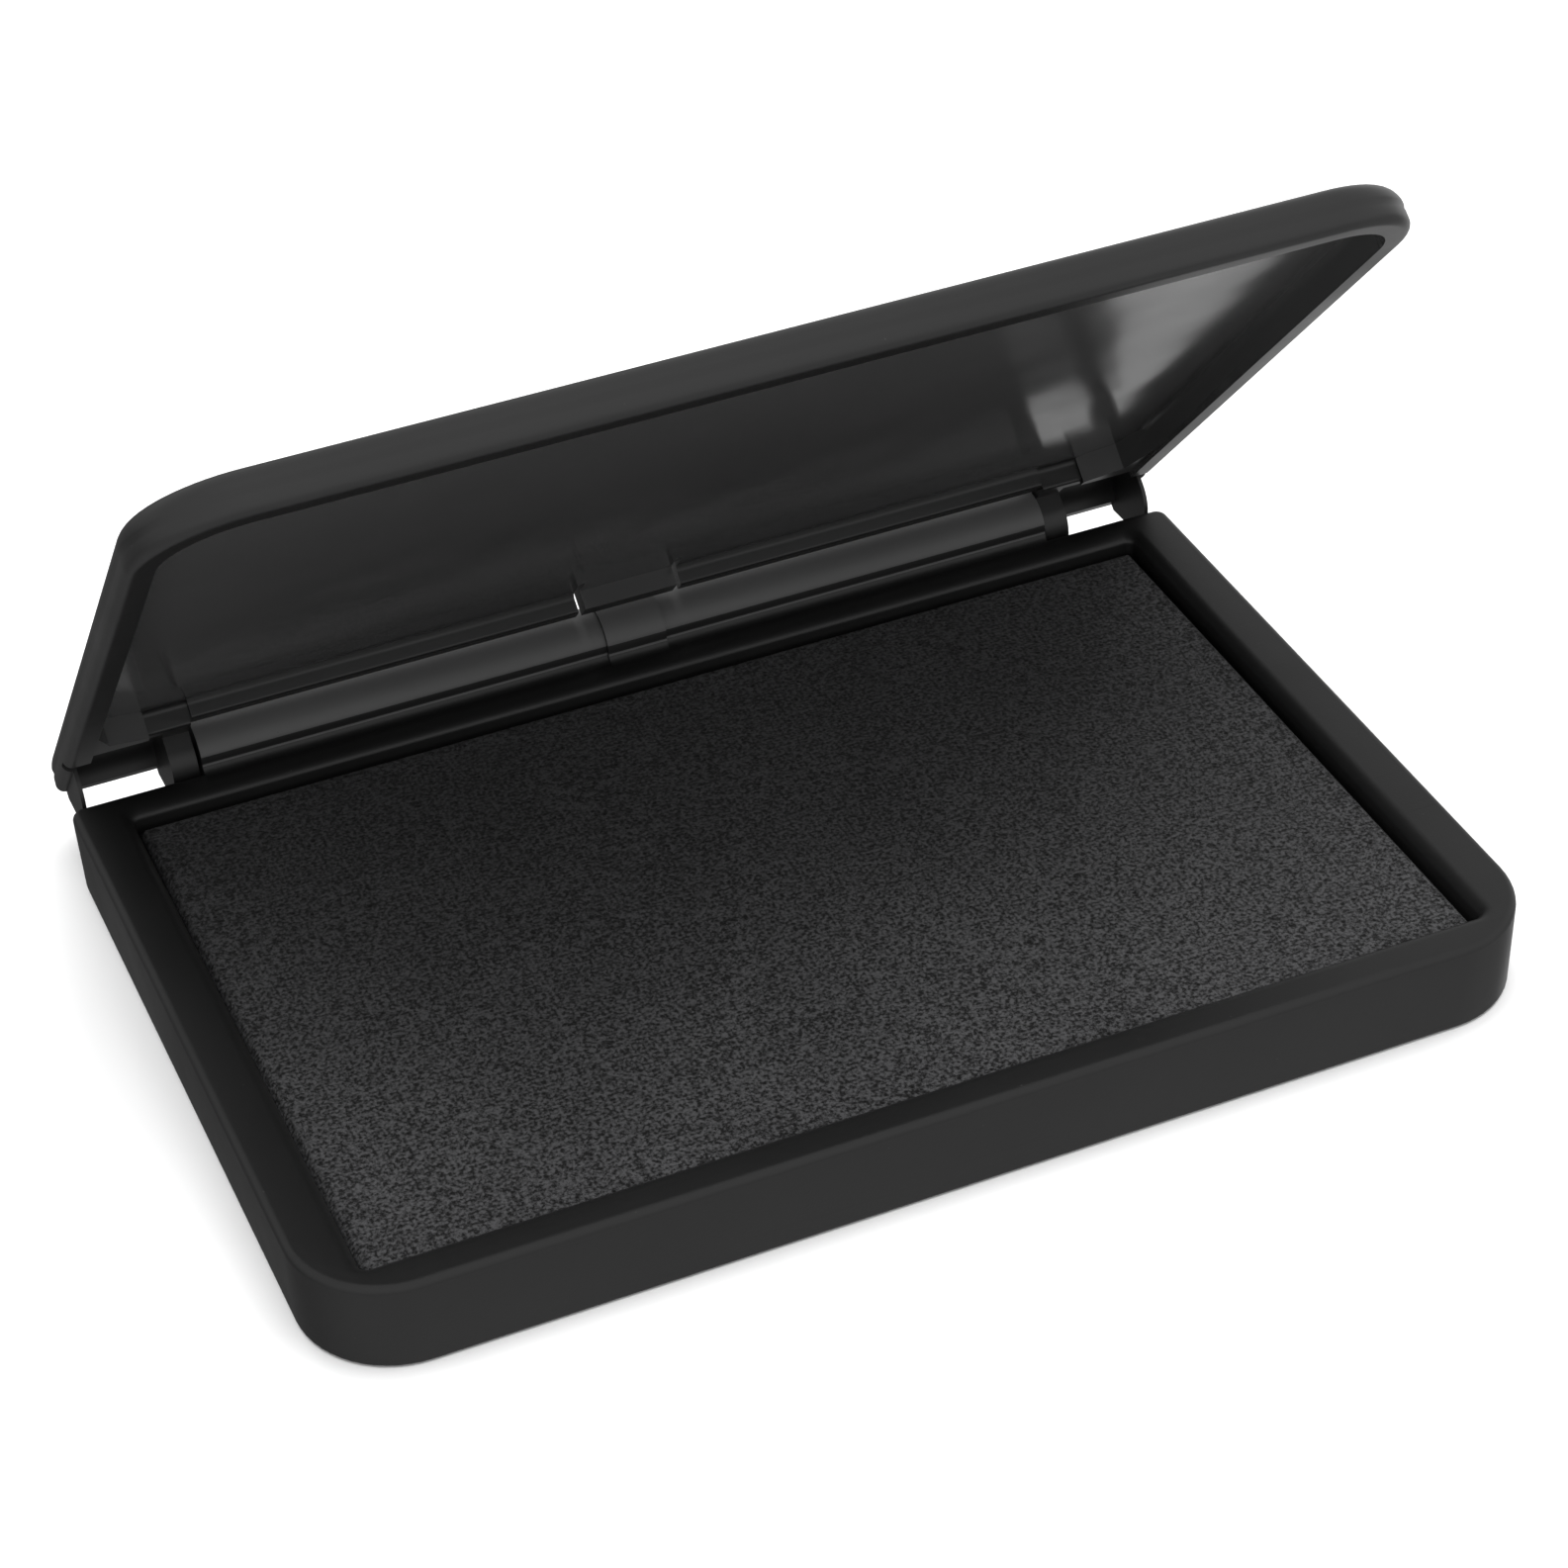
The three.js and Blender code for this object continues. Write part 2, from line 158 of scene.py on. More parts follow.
EDGE_BEVEL = 0.14

# ---- How finely curves are cut, and how far a cutting shape reaches past the part ----

CORNER_STEPS = 14
ARC_STEPS = 10
REACH = 25.0


# ---- Mesh tools ---------------------------------------------------------------------

def arc(centre, radii, start, end, steps=ARC_STEPS):
    """Points on an ellipse's arc, with both ends.  Angles are in degrees."""
    points = []
    for step in range(steps + 1):
        angle = math.radians(start + (end - start) * step / steps)
        points.append((centre[0] + radii[0] * math.cos(angle),
                       centre[1] + radii[1] * math.sin(angle)))
    return points


def plan_loop(x, front, back, front_corner, back_corner):
    """A rectangle's outline with rounded corners, always with the same number of points."""
    f, b = front_corner, back_corner
    return (arc((x - f, front + f), (f, f), -90, 0, CORNER_STEPS)
            + arc((x - b, back - b), (b, b), 0, 90, CORNER_STEPS)
            + arc((-x + b, back - b), (b, b), 90, 180, CORNER_STEPS)
            + arc((-x + f, front + f), (f, f), 180, 270, CORNER_STEPS))


def mesh_object(name, bm):
    bmesh.ops.remove_doubles(bm, verts=bm.verts, dist=1e-7)
    bmesh.ops.recalc_face_normals(bm, faces=bm.faces)
    mesh = bpy.data.meshes.new(name)
    bm.to_mesh(mesh)
    bm.free()
    obj = bpy.data.objects.new(name, mesh)
    bpy.context.scene.collection.objects.link(obj)
    return obj


def loft(name, rings):
    """A closed solid through rings of points (x, y, z), capped at both ends."""
    bm = bmesh.new()
    loops = [[bm.verts.new(Vector(point) * MM) for point in ring] for ring in rings]
    for lower, upper in zip(loops, loops[1:]):
        count = len(lower)
        for i in range(count):
            j = (i + 1) % count
            bm.faces.new((lower[i], lower[j], upper[j], upper[i]))
    bm.faces.new(loops[0])
    bm.faces.new(loops[-1])
    return mesh_object(name, bm)


def prism(name, outline, low, high):
    """An outline in X and Y, run from one height to another."""
    return loft(name, [[(x, y, z) for x, y in outline] for z in (low, high)])


def along_x(name, section, x0, x1):
    """A section in Y and Z, run along X."""
    return loft(name, [[(x, y, z) for y, z in section] for x in (x0, x1)])


def block(name, x0, x1, y0, y1, z0, z1):
    return prism(name, [(x0, y0), (x1, y0), (x1, y1), (x0, y1)], z0, z1)


def on_hinge_axis(name, radius, x0, x1):
    circle = arc((HINGE_Y, HINGE_Z), (radius, radius), 0, 360, 40)[:-1]
    return along_x(name, circle, x0, x1)


def combine(target, others, operation):
    """Joins, cuts or intersects target with each of the others, which are used up."""
    for other in others:
        modifier = target.modifiers.new("combine", "BOOLEAN")
        modifier.operation = operation
        modifier.solver = "MANIFOLD"
        modifier.object = other
        graph = bpy.context.evaluated_depsgraph_get()
        result = bpy.data.meshes.new_from_object(target.evaluated_get(graph))
        target.modifiers.clear()
        target.data = result
        bpy.data.objects.remove(other)
    return target


def both_hands(make):
    """The pieces that make(side) builds for the right and the left."""
    return [make(1), make(-1)]


def sided(side, x0, x1):
    """The span from x0 to x1 on one side, low end first."""
    return (x0, x1) if side > 0 else (-x1, -x0)


def ease_edges(obj, width=EDGE_BEVEL, angle=32):
    """Merges flat faces, then rounds every hard edge a little, as a moulding's are."""
    bm = bmesh.new()
    bm.from_mesh(obj.data)
    bmesh.ops.remove_doubles(bm, verts=bm.verts, dist=2e-6)
    bmesh.ops.dissolve_limit(
        bm, angle_limit=math.radians(0.4), verts=bm.verts, edges=bm.edges)
    bm.to_mesh(obj.data)
    bm.free()
    bevel = obj.modifiers.new("eased_edges", "BEVEL")
    bevel.width = width * MM
    bevel.segments = 3
    bevel.limit_method = "ANGLE"
    bevel.angle_limit = math.radians(angle)
    bevel.harden_normals = True
    obj.data.shade_smooth()
    return obj


def dress(obj, body, material, slot, *nodes):
    """Gives a finished piece its material, its body and the CAD nodes it stands for."""
    if not obj.data.materials:
        obj.data.materials.append(material)
    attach(obj, body)
    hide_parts(*nodes)
    return obj


def refinish(obj, material, chosen):
    """Gives the faces that pass the test, by centre and normal, a second material."""
    obj.data.materials.append(material)
    for face in obj.data.polygons:
        if chosen(face.center / MM, face.normal):
            face.material_index = len(obj.data.materials) - 1


# ---- Materials ----------------------------------------------------------------------

class Nodes:
    """A short way to write a node tree."""

    def __init__(self, name):
        self.material = bpy.data.materials.new(name)
        self.material.use_nodes = True
        self.tree = self.material.node_tree
        self.shader = self.tree.nodes["Principled BSDF"]
        coordinates = self.add("ShaderNodeTexCoord")
        to_mm = self.add("ShaderNodeMapping")
        to_mm.inputs["Scale"].default_value = (1 / MM, 1 / MM, 1 / MM)
        self.link(coordinates.outputs["Object"], to_mm.inputs["Vector"])
        self.place = to_mm.outputs["Vector"]

    def add(self, kind, **settings):
        node = self.tree.nodes.new(kind)
        for key, value in settings.items():
            setattr(node, key, value)
        return node

    def link(self, output, target):
        self.tree.links.new(output, target)

    def noise(self, scale, detail=3.0, roughness=0.55, place=None):
        node = self.add("ShaderNodeTexNoise")
        node.inputs["Scale"].default_value = scale
        node.inputs["Detail"].default_value = detail
        node.inputs["Roughness"].default_value = roughness
        self.link(place or self.place, node.inputs["Vector"])
        return node.outputs["Fac"]

    def cells(self, scale, feature="F1"):
        node = self.add("ShaderNodeTexVoronoi", feature=feature)
        node.inputs["Scale"].default_value = scale
        self.link(self.place, node.inputs["Vector"])
        return node.outputs["Distance"]

    def remap(self, value, low, high, to_low, to_high):
        node = self.add("ShaderNodeMapRange")
        for index, number in enumerate((low, high, to_low, to_high), start=1):
            node.inputs[index].default_value = number
        self.link(value, node.inputs[0])
        return node.outputs[0]

    def math(self, operation, first, second):
        node = self.add("ShaderNodeMath", operation=operation)
        for slot, value in enumerate((first, second)):
            if isinstance(value, (int, float)):
                node.inputs[slot].default_value = value
            else:
                self.link(value, node.inputs[slot])
        return node.outputs[0]

    def mix(self, factor, first, second):
        node = self.add("ShaderNodeMix", data_type="RGBA")
        self.link(factor, node.inputs["Factor"])
        for socket, value in ((node.inputs["A"], first), (node.inputs["B"], second)):
            if isinstance(value, tuple):
                socket.default_value = (*value, 1)
            else:
                self.link(value, socket)
        return node.outputs["Result"]

    def stretched(self, scale):
        """Coordinates squeezed along one way, for scratches and threads."""
        node = self.add("ShaderNodeMapping")
        node.inputs["Scale"].default_value = scale
        self.link(self.place, node.inputs["Vector"])
        return node.outputs["Vector"]

    def bump(self, height, distance, strength=1.0, below=None):
        node = self.add("ShaderNodeBump")
        node.inputs["Distance"].default_value = distance * MM
        node.inputs["Strength"].default_value = strength
        self.link(height, node.inputs["Height"])
        if below is not None:
            self.link(below, node.inputs["Normal"])
        return node.outputs["Normal"]

    def to_shader(self, **outputs):
        for name, output in outputs.items():
            self.link(output, self.shader.inputs[name.replace("_", " ")])


def moulded_plastic(name, tone, roughness, grain, smears, ripple=0.05):
    """Black moulded plastic: a fine eroded grain, handling smears and hair scratches."""
    nodes = Nodes(name)
    tint = nodes.mix(nodes.noise(0.06, 2.0), (tone * 0.9,) * 3, (tone * 1.1,) * 3)
    dust = nodes.remap(nodes.cells(0.35), 0.012, 0.03, 1.0, 0.0)
    colour = nodes.mix(dust, tint, (0.05, 0.05, 0.05))
    scratch_place = nodes.stretched((0.03, 2.4, 2.4))
    scratches = nodes.remap(nodes.noise(1.3, 1.0, 0.5, scratch_place), 0.70, 0.74, 0.0, 1.0)
    cloudy = nodes.remap(nodes.noise(0.045, 5.0, 0.6), 0.3, 0.7, roughness - smears,
                         roughness + smears)
    rough = nodes.math("ADD", cloudy, nodes.math("MULTIPLY", scratches, 0.05))
    eroded = nodes.bump(nodes.noise(5.5, 4.0, 0.6), grain)
    uneven = nodes.bump(nodes.noise(0.06, 1.0), ripple, 0.5, eroded)
    nodes.to_shader(Base_Color=colour, Roughness=rough, Normal=uneven)
    nodes.shader.inputs["IOR"].default_value = 1.46
    return nodes.material


def inked_cloth_material():
    """A fine open weave wetted with black ink: light thread ends, and pinholes painted near-black as
    painted shade inside them.
    """
    nodes = Nodes("inked_cloth")
    warp = nodes.add("ShaderNodeTexWave", bands_direction="X")
    weft = nodes.add("ShaderNodeTexWave", bands_direction="Y")
    for wave in (warp, weft):
        wave.inputs["Scale"].default_value = 0.62
        wave.inputs["Distortion"].default_value = 1.6
        wave.inputs["Detail"].default_value = 2.0
        wave.inputs["Detail Scale"].default_value = 2.4
        nodes.link(nodes.place, wave.inputs["Vector"])
    threads = nodes.math("MULTIPLY", warp.outputs["Fac"], weft.outputs["Fac"])
    fluff = nodes.noise(2.5, 2.0, 0.7)
    surface = nodes.math("ADD", nodes.math("MULTIPLY", threads, 0.08), fluff)
    pinholes_and_painted_shade = nodes.remap(nodes.cells(0.85), 0.10, 0.24, 0.0, 1.0)
    soaked = nodes.remap(nodes.noise(0.045, 4.0), 0.35, 0.65, 0.0, 1.0)
    light = nodes.remap(surface, 0.41, 0.65, 0.0, 1.0)
    dry = nodes.mix(light, (0.004, 0.004, 0.004), (0.066, 0.066, 0.068))
    wet = nodes.mix(light, (0.003, 0.003, 0.003), (0.053, 0.053, 0.055))
    body = nodes.mix(soaked, wet, dry)
    # The pinholes are painted near-black: painted shade in the holes, on top of their bumped dip.
    colour = nodes.mix(pinholes_and_painted_shade, (0.001, 0.001, 0.001), body)
    rough = nodes.remap(fluff, 0.3, 0.7, 0.62, 0.92)
    normal = nodes.bump(nodes.math("MULTIPLY", surface, pinholes_and_painted_shade), 0.2, 0.9)
    nodes.to_shader(Base_Color=colour, Roughness=rough, Normal=normal)
    nodes.shader.inputs["Sheen Weight"].default_value = 0.06
    nodes.shader.inputs["Sheen Roughness"].default_value = 0.5
    nodes.shader.inputs["IOR"].default_value = 1.4
    return nodes.material


def felt_material():
    """Dense felt, soaked through."""
    nodes = Nodes("felt_wool")
    fibres = nodes.noise(2.2, 8.0, 0.75)
    colour = nodes.mix(fibres, (0.004, 0.004, 0.005), (0.03, 0.03, 0.033))
    normal = nodes.bump(fibres, 0.25)
    nodes.to_shader(Base_Color=colour, Normal=normal)
    nodes.shader.inputs["Roughness"].default_value = 0.95
    nodes.shader.inputs["Sheen Weight"].default_value = 0.3
    return nodes.material


def board_material():
    """The plain backing board under the felt."""
    nodes = Nodes("board_plastic")
    flecks = nodes.noise(1.2, 6.0, 0.7)
    colour = nodes.mix(flecks, (0.07, 0.07, 0.07), (0.12, 0.12, 0.118))
    nodes.to_shader(Base_Color=colour, Normal=nodes.bump(flecks, 0.05))
    nodes.shader.inputs["Roughness"].default_value = 0.7
    return nodes.material


# ---- Tray ---------------------------------------------------------------------------

def tray_ring(inset, z):
    front_corner = max(TRAY_CORNER - inset, 0.6)
    back_corner = max(TRAY_BACK_CORNER - inset, 0.3)
    x = TRAY_X + TRAY_SIDE_FLARE * z / TRAY_TOP - inset
    loop = plan_loop(x, TRAY_FRONT + inset, TRAY_BACK - inset, front_corner, back_corner)
    return [(x, y, z) for x, y in loop]


def well_ring(grow, z):
    corner = max(WELL_CORNER + grow, 0.3)
    loop = plan_loop(WELL_X + grow, WELL_FRONT - grow,
                     WELL_BACK + grow * BACK_BRINK_SHARE, corner, corner)
    return [(x, y, z) for x, y in loop]


def make_tray_shell():
    """The tray's skin, from the middle of its underside round to the floor of its well."""
    inner = FOOT_INSET + FOOT_GROOVE_WIDTH
    rings = [tray_ring(inner, 0), tray_ring(inner, FOOT_GROOVE_DEPTH),
             tray_ring(FOOT_INSET, FOOT_GROOVE_DEPTH), tray_ring(FOOT_INSET, 0)]
    for inset, z in arc((FOOT_ROUND, FOOT_ROUND), (FOOT_ROUND, FOOT_ROUND), 270, 180, 5):
        rings.append(tray_ring(inset, z))
    centre = (TRAY_EDGE_ROUND, TRAY_TOP - TRAY_EDGE_ROUND)
    for inset, z in arc(centre, (TRAY_EDGE_ROUND, TRAY_EDGE_ROUND), 180, 90):
        rings.append(tray_ring(inset, z))
    for grow, z in arc((BRINK_WIDTH, TRAY_TOP - BRINK_DROP), (BRINK_WIDTH, BRINK_DROP), 90, 180):
        rings.append(well_ring(grow, z))
    rings.append(well_ring(0, FLOOR + WELL_CORNER / 2))
    rings.append(well_ring(-WELL_CORNER / 2, FLOOR))
    return loft("tray_shell", rings)


def spine_section(rise):
    """The bar along the back: a filleted foot, an upright face, a crisp edge and a crown."""
    edge_z = TRAY_TOP + SPINE_FRONT_HEIGHT
    fillet = SPINE_FOOT_FILLET
    back = TRAY_BACK + SPINE_DEPTH
    face = TRAY_BACK - rise
    radius = SPINE_CROWN_RADIUS + rise
    centre = (TRAY_BACK + SPINE_CROWN_BACK, edge_z + SPINE_CROWN_HEIGHT - SPINE_CROWN_RADIUS)
    foot = arc((face - fillet, TRAY_TOP + fillet - 0.01), (fillet, fillet), -90, 0, 8)
    crown = arc(centre, (radius, radius), *SPINE_CROWN_ARC, 26)
    heel = arc((back - FOOT_ROUND, FOOT_ROUND), (FOOT_ROUND, FOOT_ROUND), 0, -90, 5)
    inner = TRAY_BACK - TRAY_EDGE_ROUND - 1.6
    return foot + crown + heel + [(inner, 0), (inner, TRAY_TOP - 0.5)]


def on_spine(place, normal):
    """Whether a face is on the crown, which is given a lighter tone as painted light from above."""
    above = place.z > TRAY_TOP + SPINE_FOOT_FILLET * 0.7 and place.y > TRAY_BACK - 0.8
    return above and normal.z > 0.2


def make_tray(material, crown_painted_light_material):
    shell = make_tray_shell()
    spine = along_x("spine", spine_section(0), -SPINE_X, SPINE_X)
    boss = along_x("boss", spine_section(BOSS_RISE), -BOSS_X, BOSS_X)
    combine(shell, [spine, boss], "UNION")

    def socket(side):
        span = sided(side, SPINE_X - PIN_ENTRY - 0.5, SPINE_X + 1)
        return on_hinge_axis("socket", PIN_RADIUS + PIN_CLEARANCE, *span)

    combine(shell, both_hands(socket), "DIFFERENCE")
    ease_edges(shell)
    shell.data.materials.clear()
    shell.data.materials.append(material)
    # The crown gets a much lighter copy of the tray's plastic: painted light, standing for the
    # overhead light it catches.
    refinish(shell, crown_painted_light_material, on_spine)
    return dress(shell, "tray", material, "tray_plastic", "base_tray")


# ---- Lid, drawn shut and then swung open --------------------------------------------

def lid_ring(inset, z):
    front_corner = LID_CORNER - inset
    loop = plan_loop(LID_X - inset, LID_FRONT + inset, HINGE_Y + REACH, front_corner, 3)
    return [(x, y, z) for x, y in loop]


def make_lid_envelope():
    """The outside of the lid: a rounded rim, a skirt, a soft crease, a rounded shoulder."""
    crease = LID_RIM_Z + LID_CREASE_HEIGHT
    r = LID_RIM_ROUND
    rings = [lid_ring(r, LID_RIM_Z - REACH)]
    rings += [lid_ring(r + inset, z) for inset, z in arc((0, LID_RIM_Z + r), (r, r), 270, 180)]
    rings += [lid_ring(0.02, crease - 0.35), lid_ring(LID_CREASE_DEPTH, crease)]
    centre = (LID_SHOULDER, crease + 0.25)
    radii = (LID_SHOULDER, LID_TOP_Z - crease - 0.25)
    rings += [lid_ring(inset, z) for inset, z in arc(centre, radii, 176, 90, 14)]
    return loft("lid_envelope", rings)


def hinge_section():
    """Ears and arms: a knuckle round the pin that grows into the rounded back."""
    heel = math.degrees(math.acos(KNUCKLE_RADIUS / BACK_RADIUS))
    knuckle = arc((HINGE_Y, HINGE_Z), (KNUCKLE_RADIUS, KNUCKLE_RADIUS), 180, 360 - heel, 24)
    back = arc((HINGE_Y, HINGE_Z), (BACK_RADIUS, BACK_RADIUS), 0, 90, 20)
    return ([(LIP_FRONT_Y, LID_TOP_Z), (LIP_FRONT_Y, HINGE_WALL_LOW_Z),
             (HINGE_Y - KNUCKLE_RADIUS, HINGE_WALL_LOW_Z)] + knuckle + back)


def hinge_pocket_section():
    """The hollow between an arm and an ear, open below the rounded back's edge."""
    edge = math.degrees(math.asin(BACK_SHELL_RISE / BACK_INNER_RADIUS))
    roof = arc((HINGE_Y, HINGE_Z), (BACK_INNER_RADIUS, BACK_INNER_RADIUS), edge, 90, 20)
    shell_edge = HINGE_Z + BACK_SHELL_RISE
    return ([(LIP_BACK_Y, HINGE_Z - REACH), (HINGE_Y + REACH, HINGE_Z - REACH),
             (HINGE_Y + REACH, shell_edge)] + roof
            + [(LIP_BACK_Y, HINGE_Z + BACK_INNER_RADIUS)])


def under_lip_section(front, low):
    """What is cut away in front of the lip and under it, with a cove against the panel."""
    cove = arc((front - LIP_COVE, LID_CEILING_Z - LIP_COVE), (LIP_COVE, LIP_COVE), 0, 90, 8)
    edge_round = LIP_EDGE_ROUND
    edge = arc((front + edge_round, low + edge_round), (edge_round, edge_round), 270, 180, 5)
    return ([(front - 3, LID_RIM_Z - 1), (LIP_BACK_Y + 0.01, LID_RIM_Z - 1),
             (LIP_BACK_Y + 0.01, low)] + edge + cove + [(front - 3, LID_CEILING_Z)])


def make_lid_inside():
    """The hollow of the lid in front of the lip, coved round the panel."""
    x = LID_X - LID_WALL
    front = LID_FRONT + LID_WALL
    corner = LID_CORNER - LID_WALL
    low = LID_CEILING_Z - LID_COVE
    profile = [(0, LID_RIM_Z - 1), (0, low)]
    profile += arc((LID_COVE, low), (LID_COVE, LID_COVE), 180, 90, 8)[1:]
    loops = []
    for inset, z in profile:
        loop = plan_loop(x - inset, front + inset, LIP_FRONT_Y - 2, corner - inset, 0.4)
        loops.append([(px, py, z) for px, py in loop])
    return loft("lid_hollow", loops)


def make_corner_facet(side):
    """The slanting wall that closes a back corner of the hollow."""
    x = LID_X - LID_WALL
    points = [(x + 0.5, LIP_FRONT_Y - FACET_DEPTH), (x + 0.5, LIP_FRONT_Y + 1),
              (x - FACET_WIDTH, LIP_FRONT_Y + 1), (x - FACET_WIDTH, LIP_FRONT_Y),
              (x - 1.8, LIP_FRONT_Y - 1.4)]
    outline = [(side * px, py) for px, py in points]
    return prism("corner_facet", outline, LID_RIM_Z + 0.5, LID_CEILING_Z + 0.5)


def in_lid_hollow(place, normal):
    """Whether a face is a wall or the panel of the hollow, with the lid drawn shut."""
    if not LID_RIM_Z + LID_RIM_ROUND < place.z < LID_CEILING_Z + 0.05:
        return False
    if abs(place.x) > LID_X - LID_WALL + 0.05 or place.y > LIP_FRONT_Y - 0.1:
        return False
    return normal.x * place.x + normal.y * place.y < 0.01 and normal.z < 0.5


def make_lid(material, hollow_painted_light_material):
    past = LID_X + 5
    plate = block("lid_cover", -past, past, LID_FRONT - 5, LIP_BACK_Y, LID_RIM_Z, LID_TOP_Z + 5)

    def hinge_end(side):
        return along_x("hinge_end", hinge_section(), *sided(side, ARM_INNER_X, past))

    def pocket(side):
        return along_x("pocket", hinge_pocket_section(), *sided(side, ARM_OUTER_X, EAR_INNER_X))

    def under_hinge_wall(side):
        section = under_lip_section(LIP_FRONT_Y + 0.4, HINGE_WALL_LOW_Z)
        span = sided(side, ARM_INNER_X - 0.2, LID_X - LID_WALL)
        return along_x("under_hinge_wall", section, *span)

    def slit(side):
        return block("slit", *sided(side, TONGUE_X, TONGUE_X + SLIT_WIDTH),
                     LIP_BACK_Y - SLIT_LENGTH, LIP_BACK_Y + 1, LID_RIM_Z - 1, LID_TOP_Z + 1)

    def pin(side):
        return on_hinge_axis("pin", PIN_RADIUS, *sided(side, SPINE_X - PIN_ENTRY, ARM_INNER_X + 1))

    combine(plate, both_hands(hinge_end), "UNION")
    combine(plate, [make_lid_envelope()], "INTERSECT")
    lip = under_lip_section(LIP_FRONT_Y, LIP_LOW_Z)
    under_lip = along_x("under_lip", lip, -ARM_INNER_X, ARM_INNER_X)
    cuts = [make_lid_inside(), under_lip, *both_hands(under_hinge_wall), *both_hands(pocket)]
    combine(plate, cuts, "DIFFERENCE")
    tongue = block("tongue", -TONGUE_X, TONGUE_X, LIP_FRONT_Y - TONGUE_PROUD, LIP_BACK_Y,
                   LIP_LOW_Z, LID_CEILING_Z + 0.6)
    combine(plate, [tongue, *both_hands(make_corner_facet)], "UNION")
    combine(plate, both_hands(slit), "DIFFERENCE")
    combine(plate, both_hands(pin), "UNION")
    swing = (Matrix.Translation((0, HINGE_Y * MM, HINGE_Z * MM))
             @ Matrix.Rotation(-REST_OPEN_ANGLE, 4, "X")
             @ Matrix.Translation((0, -HINGE_Y * MM, -HINGE_Z * MM)))
    ease_edges(plate)
    plate.data.materials.clear()
    plate.data.materials.append(material)
    # The hollow gets a lighter copy of the lid's plastic: painted light, standing for the light its
    # glossy walls and panel reflect.
    refinish(plate, hollow_painted_light_material, in_lid_hollow)
    plate.data.transform(swing)
    return dress(plate, "lid", material, "lid_plastic", "lid_shell")


# ---- Pad ----------------------------------------------------------------------------

PAD_STEP = 0.6
PAD_EDGE = 0.7
PAD_SWELL = 0.10
PAD_GRAIN = 0.035
PAD_FREE_WIDTH = 3.0
CLOTH_THICKNESS = 0.35


def edge_drop(distance):
    """How far the cloth has rounded over at this distance from the pad's edge."""
    if distance >= PAD_EDGE:
        return 0.0
    return PAD_EDGE - math.sqrt(PAD_EDGE ** 2 - (PAD_EDGE - max(distance, 0.0)) ** 2)


def make_cloth_grid():
    """The cloth laid flat over the felt, rounded over at the edges and turned down."""
    width = CLOTH_HIGH.x - CLOTH_LOW.x
    depth = CLOTH_HIGH.y - CLOTH_LOW.y
    columns = round(width / PAD_STEP)
    rows = round(depth / PAD_STEP)
    bm = bmesh.new()
    grid = []
    for row in range(rows + 1):
        line = []
        for column in range(columns + 1):
            x = CLOTH_LOW.x + width * column / columns
            y = CLOTH_LOW.y + depth * row / rows
            near = min(x - CLOTH_LOW.x, CLOTH_HIGH.x - x, y - CLOTH_LOW.y, CLOTH_HIGH.y - y)
            line.append(bm.verts.new((x * MM, y * MM, (CLOTH_HIGH.z - edge_drop(near)) * MM)))
        grid.append(line)
    for lower, upper in zip(grid, grid[1:]):
        for i in range(columns):
            bm.faces.new((lower[i], lower[i + 1], upper[i + 1], upper[i]))
    return bm


def make_pad_cloth(material):
    bm = make_cloth_grid()
    for vert in bm.verts:
        place = vert.co / MM
        near = min(place.x - CLOTH_LOW.x, CLOTH_HIGH.x - place.x,
                   place.y - CLOTH_LOW.y, CLOTH_HIGH.y - place.y)
        free = min(near / PAD_FREE_WIDTH, 1.0)
        wander = noise.noise(place * 0.11) * PAD_SWELL + noise.noise(place * 0.9) * PAD_GRAIN
        vert.co.z += (wander - PAD_SWELL) * free * MM
    rim = [edge for edge in bm.edges if edge.is_boundary]
    down = bmesh.ops.extrude_edge_only(bm, edges=rim)
    skirt = [item for item in down["geom"] if isinstance(item, bmesh.types.BMVert)]
    for vert in skirt:
        vert.co.z = CLOTH_LOW.z * MM
    cloth = mesh_object("pad_cloth", bm)
    thickness = cloth.modifiers.new("cloth_thickness", "SOLIDIFY")
    thickness.thickness = CLOTH_THICKNESS * MM
    thickness.offset = -1
    cloth.data.shade_smooth()
    dress(cloth, "tray", material, "inked_cloth", "ink_cloth")
    return cloth


def make_felt(material):
    """The felt block inside the cloth, its cut edges a little uneven."""
    corner = 1.0
    rings = []
    x, front, back = FELT_HIGH.x, FELT_LOW.y, FELT_HIGH.y
    profile = [(0.5, FELT_LOW.z), (0.1, FELT_LOW.z + 0.4), (0.25, (FELT_LOW.z + FELT_HIGH.z) / 2),
               (0.1, FELT_HIGH.z - 0.4), (0.5, FELT_HIGH.z)]
    for inset, z in profile:
        loop = plan_loop(x - inset, front + inset, back - inset, corner, corner)
        rings.append([(px, py, z) for px, py in loop])
    felt = loft("pad_felt", rings)
    felt.data.shade_smooth()
    dress(felt, "tray", material, "felt_wool", "felt_core")
    return felt


# ---- Stage, lights and camera -------------------------------------------------------

def make_floor():
    side = 6000
    floor = block("studio_floor", -side, side, -side, side, -2, -0.02)
    nodes = Nodes("pale_floor")
    tone = nodes.mix(nodes.noise(0.01, 2.0), (0.92, 0.92, 0.92), (0.94, 0.94, 0.94))
    nodes.to_shader(Base_Color=tone)
    nodes.shader.inputs["Roughness"].default_value = 0.9
    nodes.shader.inputs["Specular IOR Level"].default_value = 0.0
    floor.data.materials.append(nodes.material)
    floor.visible_glossy = False
    return floor


def make_softbox(name, place, target, size, power):
    light = bpy.data.lights.new(name, "AREA")
    light.shape = "RECTANGLE"
    light.size, light.size_y = size
    light.energy = power
    lamp = bpy.data.objects.new(name, light)
    lamp.location = place
    direction = Vector(target) - Vector(place)
    lamp.rotation_euler = direction.to_track_quat("-Z", "Y").to_euler()
    bpy.context.scene.collection.objects.link(lamp)
    return lamp


LOW_FRONT, LOW_BACK = 0.55, 0.14
HIGH_FRONT, HIGH_BACK = 0.85, 0.5
LOW_RIGHT = 0.9


